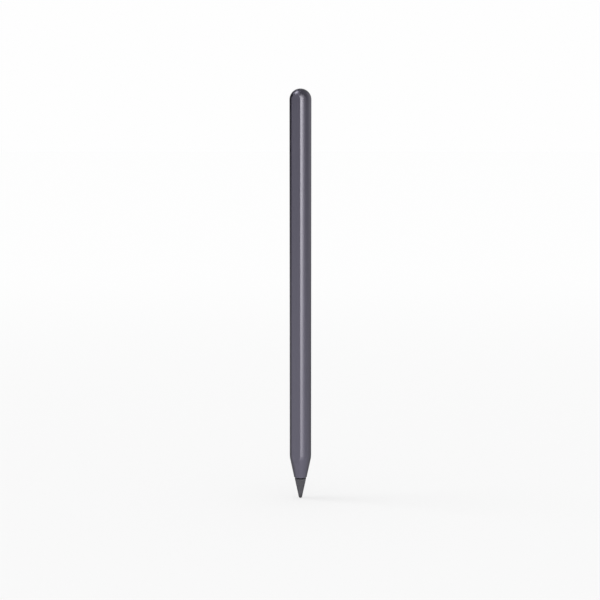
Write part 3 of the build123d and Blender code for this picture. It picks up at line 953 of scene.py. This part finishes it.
@dataclass
class Power:
    """Cell in its film and the charging coil behind the flat."""

    cell: Box = Box.of("battery")
    coil: Box = Box.of("charging_coil")
    cell_edge: float = 0.55 * MM
    film_hole: float = 1.7 * MM
    film: float = 0.08 * MM
    bead: float = 0.22 * MM
    bead_width: float = 1.1 * MM
    bead_drop: float = 2.4 * MM
    coil_strand: float = 0.75 * MM
    coil_turns: int = 6
    wire_gap: float = 0.008 * MM
    wire_round_share: float = 0.8
    half_turn_points: int = 17

    def make_cell(self) -> Piece:
        """Build the cell: a turned can in shrunk film with round shoulders, a rolled bead and bare end discs.

        The bead sinks the side by a squared cosine of the distance from its middle.

        Returns:
            The cell.
        """
        low, high, radius, edge = self.cell.low, self.cell.high, self.cell.right, self.cell_edge
        away = np.linspace(-1.0, 1.0, ROWS + 1)
        sunk = radius - self.bead * np.cos(away * math.pi / 2.0) ** 2
        bead = np.column_stack((sunk, high - self.bead_drop + away * self.bead_width / 2.0))
        line = profile(
            (0.0, low + self.film), (self.film_hole, low + self.film), (self.film_hole, low),
            arc((radius - edge, low + edge), edge, -90, 0),
            run((radius, low + edge), bead[0], ROWS),
            bead,
            arc((radius - edge, high - edge), edge, 0, 90),
            (self.film_hole, high), (self.film_hole, high - self.film), (0.0, high - self.film),
        )
        return surface("battery_cell", lathe(line, self.cell.axis_y), Ends.POLES)

    def make_coil(self) -> Piece:
        """Build the coil: one flat wire wound inwards on a race track.

        At angle t the track's point is (r cos t, r sin t) pushed up or down by half the straight run, up on
        the upper half and down on the lower one, and r shrinks by a wire's pitch in each turn.

        Returns:
            The coil.
        """
        pitch = self.coil_strand / (self.coil_turns + 1)
        straight = self.coil.high - self.coil.axis_z - self.coil.right
        half_turn = np.linspace(0.0, math.pi, self.half_turn_points)
        angle = (np.arange(2 * self.coil_turns)[:, None] * math.pi + half_turn).ravel()
        upper = np.repeat(np.tile((1.0, -1.0), self.coil_turns), self.half_turn_points)
        radius = self.coil.right - pitch / 2.0 - pitch * angle / TURN
        outward = np.column_stack((np.cos(angle), np.zeros_like(angle), np.sin(angle)))
        path = radius[:, None] * outward
        path[:, 1] = self.coil.axis_y
        path[:, 2] += self.coil.axis_z + upper * straight
        wide, deep = (pitch - self.wire_gap) / 2.0, self.coil.back - self.coil.axis_y
        section = rounded_box((-wide, -deep), (wide, deep), self.wire_round_share * wide)
        return surface("charging_coil_winding", tube(path, outward, (0.0, 1.0, 0.0), section), Ends.CAPS)

    def build(self) -> None:
        """Build and dress both pieces."""
        CELL_FILM.fit(self.make_cell(), "barrel", "battery")
        ENAMELLED_COPPER.fit(self.make_coil(), "barrel", "charging_coil")


@dataclass
class Electronics:
    """Board screws, and the finishes of the solids that keep their own shape."""

    flex: Box = Box.of("sensor_flex")
    board: Box = Box.of("main_board")
    screws: Box = Box.of("board_screws")
    head_edge: float = 0.22 * MM
    shank: float = 0.5 * MM
    shank_point: float = 0.15 * MM
    cross_width: float = 0.1 * MM
    cross_reach: float = 0.55 * MM
    cross_depth: float = 0.28 * MM
    cross_slope: float = 0.05 * MM
    kept: ClassVar[dict[Finish, tuple[str, ...]]] = {
        GLASS_NYLON: ("nose_bush", "sensor_holder", "chassis"),
        TURNED_BRASS: ("tilt_ring",),
        FIRED_ALUMINA: ("force_sensor",),
        POLYIMIDE: ("sensor_flex", "power_flex"),
        SOLDER_MASK: ("main_board", "battery_board"),
        CHIP_EPOXY: ("board_chips",),
        TINNED_STEEL: ("shield_can", "magnet_yokes"),
        SINTERED_FERRITE: ("ferrite_bar",),
        NICKEL: ("magnets",),
    }

    def make_screw(self, number: int, place: float) -> Piece:
        """Build one screw: a turned pan head and shank, with a cross pressed into the top of the head.

        The cross sinks each point of the top by its depth where the point lies near one of the two lines and
        inside the cross's reach, with sloping walls. The screw is turned upright and then laid along Y.

        Args:
            number: Number of the screw.
            place: Height of its axis.

        Returns:
            The screw.
        """
        end, seat, top, head = self.screws.front, self.board.back, self.screws.back, self.screws.right
        bend, shoulder = top - self.head_edge, head - self.head_edge
        line = profile(
            (0.0, end), (self.shank - self.shank_point, end), (self.shank, end + self.shank_point),
            (self.shank, seat), (head, seat),
            arc((shoulder, bend), self.head_edge, 0, 90),
            run((shoulder, top), (0.0, top), ROWS),
        )
        x, y, z = np.moveaxis(lathe(line), -1, 0)
        near = np.minimum(np.abs(x), np.abs(y))
        cross = np.clip((self.cross_width - near) / self.cross_slope, 0.0, 1.0)
        cross = cross * np.clip((self.cross_reach - np.hypot(x, y)) / self.cross_slope, 0.0, 1.0)
        sunk = z - self.cross_depth * cross * (z > top - SAME_POINT)
        return surface(f"board_screw_{number}", np.stack((x, sunk, place - y), axis=-1), Ends.POLES)

    def build(self) -> None:
        """Build the screws, a head's width from the flat lead and the board's end, and dress the solids."""
        head = 2.0 * self.screws.right
        for number, place in enumerate((self.flex.high + head, self.board.high - head), 1):
            DRAWN_STEEL.fit(self.make_screw(number, place), "barrel", "board_screws")
        for finish, names in self.kept.items():
            for name in names:
                finish.cover(name)


@dataclass
class Studio:
    """Pale floor, soft light and the camera of the photograph, none of it part of the pen.

    Directions of light are given in degrees to the picture's right of the camera and above the horizon. A
    wall of the tent is a row of (direction, level) pairs. Lens and sensor are in millimetres, as Blender
    takes them.
    """

    azimuth: float = 28.0
    distance: float = 572.16 * MM
    height: float = 142.09 * MM
    pitch: float = 6.0
    sideways: float = 0.18 * MM
    lens: float = 85.0
    sensor: float = 36.0
    near_clip: float = 10.0 * MM
    floor_radius: float = 400.0
    first_ring: float = 20.0 * MM
    floor_near: str = "#b0b0b0"
    floor_far: str = "#b3b3b3"
    floor_blend: Point = (0.1, 1.1)
    floor_light: float = 1.08
    world_level: float = 0.991
    key_across: float = -95.5
    key_up: float = 59.5
    key_size: float = 18.0
    key_energy: float = 0.43
    tent_radius: float = 2.0
    tent_lift: float = 0.08
    tent_columns: int = 144
    tent_rows: int = 73
    low_wall: tuple[Point, ...] = (
        (-180, 2.2), (-162, 0.6), (-150, 0.05), (-125, 0.4), (-100, 0.55), (-70, 1.12), (-35, 0.9),
        (35, 0.92), (75, 0.92), (105, 0.62), (130, 0.29), (155, 0.03), (165, 0.6), (180, 2.2),
    )
    high_wall: tuple[Point, ...] = (
        (-180, 0.6), (-150, 0.02), (-110, 0.02), (-90, 0.06), (-74, 0.72), (-55, 0.45), (-35, 0.75),
        (35, 0.32), (60, 0.25), (85, 0.33), (112, 0.92), (130, 0.54), (150, 0.24), (180, 0.6),
    )
    horizon: Point = (-6.0, 0.0)
    overhead: Point = (20.0, 60.0)
    overhead_share: float = 0.53
    strip_levels: tuple[float, float, float] = (6.75, 6.8, 5.9)
    strip_across: float = 8.4
    strip_spread: float = 9.9
    strip_ends: Point = (-10.5, 36.0)
    strip_soft: Point = (3.0, 4.0)
    spot_level: float = 9.0
    spot_across: float = -97.0
    spot_up: float = 61.0
    spot_spread: float = 7.5

    def camera(self) -> None:
        """Set the camera where the photograph was taken from."""
        turn = math.radians(self.azimuth)
        seat = Vector((-self.sideways, -self.distance, self.height))
        data = bpy.data.cameras.new("camera")
        data.lens, data.sensor_width = self.lens, self.sensor
        data.clip_start, data.clip_end = self.near_clip, 2.0 * self.floor_radius
        made = bpy.data.objects.new("camera", data)
        made.location = Matrix.Rotation(turn, 3, "Z") @ seat
        made.rotation_euler = (math.radians(90.0 - self.pitch), 0.0, turn)
        bpy.context.scene.collection.objects.link(made)
        bpy.context.scene.camera = made

    def floor(self) -> None:
        """Lay the floor: a light table, flat rings of growing radius, that keeps touching the nib's point."""
        rings = np.append(np.geomspace(self.floor_radius, self.first_ring, ROWS), 0.0)
        made = surface("floor", lathe(np.column_stack((rings, np.zeros_like(rings)))), Ends.OPEN)
        sheet = bpy.data.materials.new("backlit_matt_acrylic")
        sheet.use_nodes = True
        tree = sheet.node_tree
        shader = tree.nodes["Principled BSDF"]
        shader.inputs["Roughness"].default_value = 1.0
        shader.inputs["Specular IOR Level"].default_value = 0.0
        shader.inputs["Emission Strength"].default_value = self.floor_light
        place = node(tree, "ShaderNodeTexCoord")
        away = node(tree, "ShaderNodeVectorMath", None, {0: place.outputs["Object"]}, operation="LENGTH")
        span = {"From Min": self.floor_blend[0], "From Max": self.floor_blend[1]}
        value = {"Value": away.outputs["Value"]}
        share = node(tree, "ShaderNodeMapRange", span, value, interpolation_type="SMOOTHSTEP")
        colours = {COLOUR_A: linear(self.floor_near), COLOUR_B: linear(self.floor_far)}
        shade = node(tree, "ShaderNodeMix", colours, {0: share.outputs["Result"]}, data_type="RGBA")
        for socket in ("Base Color", "Emission Color"):
            tree.links.new(shade.outputs[COLOUR_OUT], shader.inputs[socket])
        made.data.materials.append(sheet)
        made.visible_glossy = False
        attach(made, "nib")

    def world(self) -> None:
        """Surround the scene with even white light."""
        made = bpy.data.worlds.new("white_studio")
        made.use_nodes = True
        level = self.world_level
        made.node_tree.nodes["Background"].inputs["Color"].default_value = (level, level, level, 1.0)
        bpy.context.scene.world = made

    def key(self) -> None:
        """Hang the soft key light high on the left; it draws the pen's shadow."""
        data = bpy.data.lights.new("key", "SUN")
        data.energy = self.key_energy
        data.angle = math.radians(self.key_size)
        made = bpy.data.objects.new("key", data)
        turn = math.radians(self.azimuth + self.key_across)
        made.rotation_euler = (math.radians(90.0 - self.key_up), 0.0, turn)
        made.visible_glossy = False
        bpy.context.scene.collection.objects.link(made)

    def glow(self, across: Array, up: Array) -> Array:
        """Light of the tent in each direction.

        The walls follow one row of levels below the horizon and another above it, joined by a smooth step and
        dimmed overhead. The slightly warm strip beside the camera is a bell curve across, cut off softly at
        both ends, and the key's face is a round bell curve.

        Args:
            across: Degrees to the right of the camera.
            up: Degrees above the horizon.

        Returns:
            Red, green and blue light in each direction.
        """
        step = np.interp(up, self.horizon, (0.0, 1.0))
        step = step * step * (3.0 - 2.0 * step)
        low = np.interp(across, *zip(*self.low_wall))
        high = np.interp(across, *zip(*self.high_wall))
        high = high * np.interp(up, self.overhead, (1.0, self.overhead_share))
        bell = np.exp(-0.5 * ((across - self.strip_across) / self.strip_spread) ** 2)
        bottom = 1.0 / (1.0 + np.exp((self.strip_ends[0] - up) / self.strip_soft[0]))
        top = 1.0 / (1.0 + np.exp((up - self.strip_ends[1]) / self.strip_soft[1]))
        aside = (across - self.spot_across) * math.cos(math.radians(self.spot_up))
        spot = np.exp(-0.5 * (aside**2 + (up - self.spot_up) ** 2) / self.spot_spread**2)
        plain = low * (1.0 - step) + high * step + self.spot_level * spot
        return plain[..., None] + (bell * bottom * top)[..., None] * np.array(self.strip_levels)

    def tent(self) -> None:
        """Hang the tent: a sphere that only the pen's gloss sees, with its light stored at its points."""
        round_about = np.linspace(-180.0, 180.0, self.tent_columns, endpoint=False)
        across, up = np.meshgrid(round_about, np.linspace(-90.0, 90.0, self.tent_rows))
        turn, rise = np.radians(self.azimuth + across), np.radians(up)
        side = np.stack((np.sin(turn) * np.cos(rise), -np.cos(turn) * np.cos(rise), np.sin(rise)), axis=-1)
        made = surface("light_tent", self.tent_radius * side + (0.0, 0.0, self.tent_lift), Ends.OPEN)
        light = made.data.attributes.new("glow", "FLOAT_COLOR", "POINT")
        colours = np.dstack((self.glow(across, up), np.ones_like(up)))
        light.data.foreach_set("color", colours.astype(np.float32).ravel())
        cloth = bpy.data.materials.new("lit_white_cloth")
        cloth.use_nodes = True
        tree = cloth.node_tree
        tree.nodes.clear()
        level = node(tree, "ShaderNodeAttribute", attribute_name="glow")
        shine = node(tree, "ShaderNodeEmission", None, {"Color": level.outputs["Color"]})
        node(tree, "ShaderNodeOutputMaterial", None, {"Surface": shine.outputs["Emission"]})
        made.data.materials.append(cloth)
        made.visible_camera = made.visible_diffuse = made.visible_shadow = False
        made.visible_transmission = made.visible_volume_scatter = False

    def build(self) -> None:
        """Set up floor, light and camera."""
        self.camera()
        self.floor()
        self.world()
        self.key()
        self.tent()
        bpy.context.scene.view_settings.view_transform = "Standard"
        log.info("studio: camera, floor, world, key and tent")


def main() -> None:
    """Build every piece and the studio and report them."""
    logging.basicConfig(level=logging.INFO, format="%(name)s: %(message)s")
    shell = Shell()
    pen = (shell, Nib(), Plunger(), Seals(shell.hollow_radius), Power(), Electronics())
    for assembly in (*pen, Studio()):
        assembly.build()


if __name__ == "__main__":
    main()
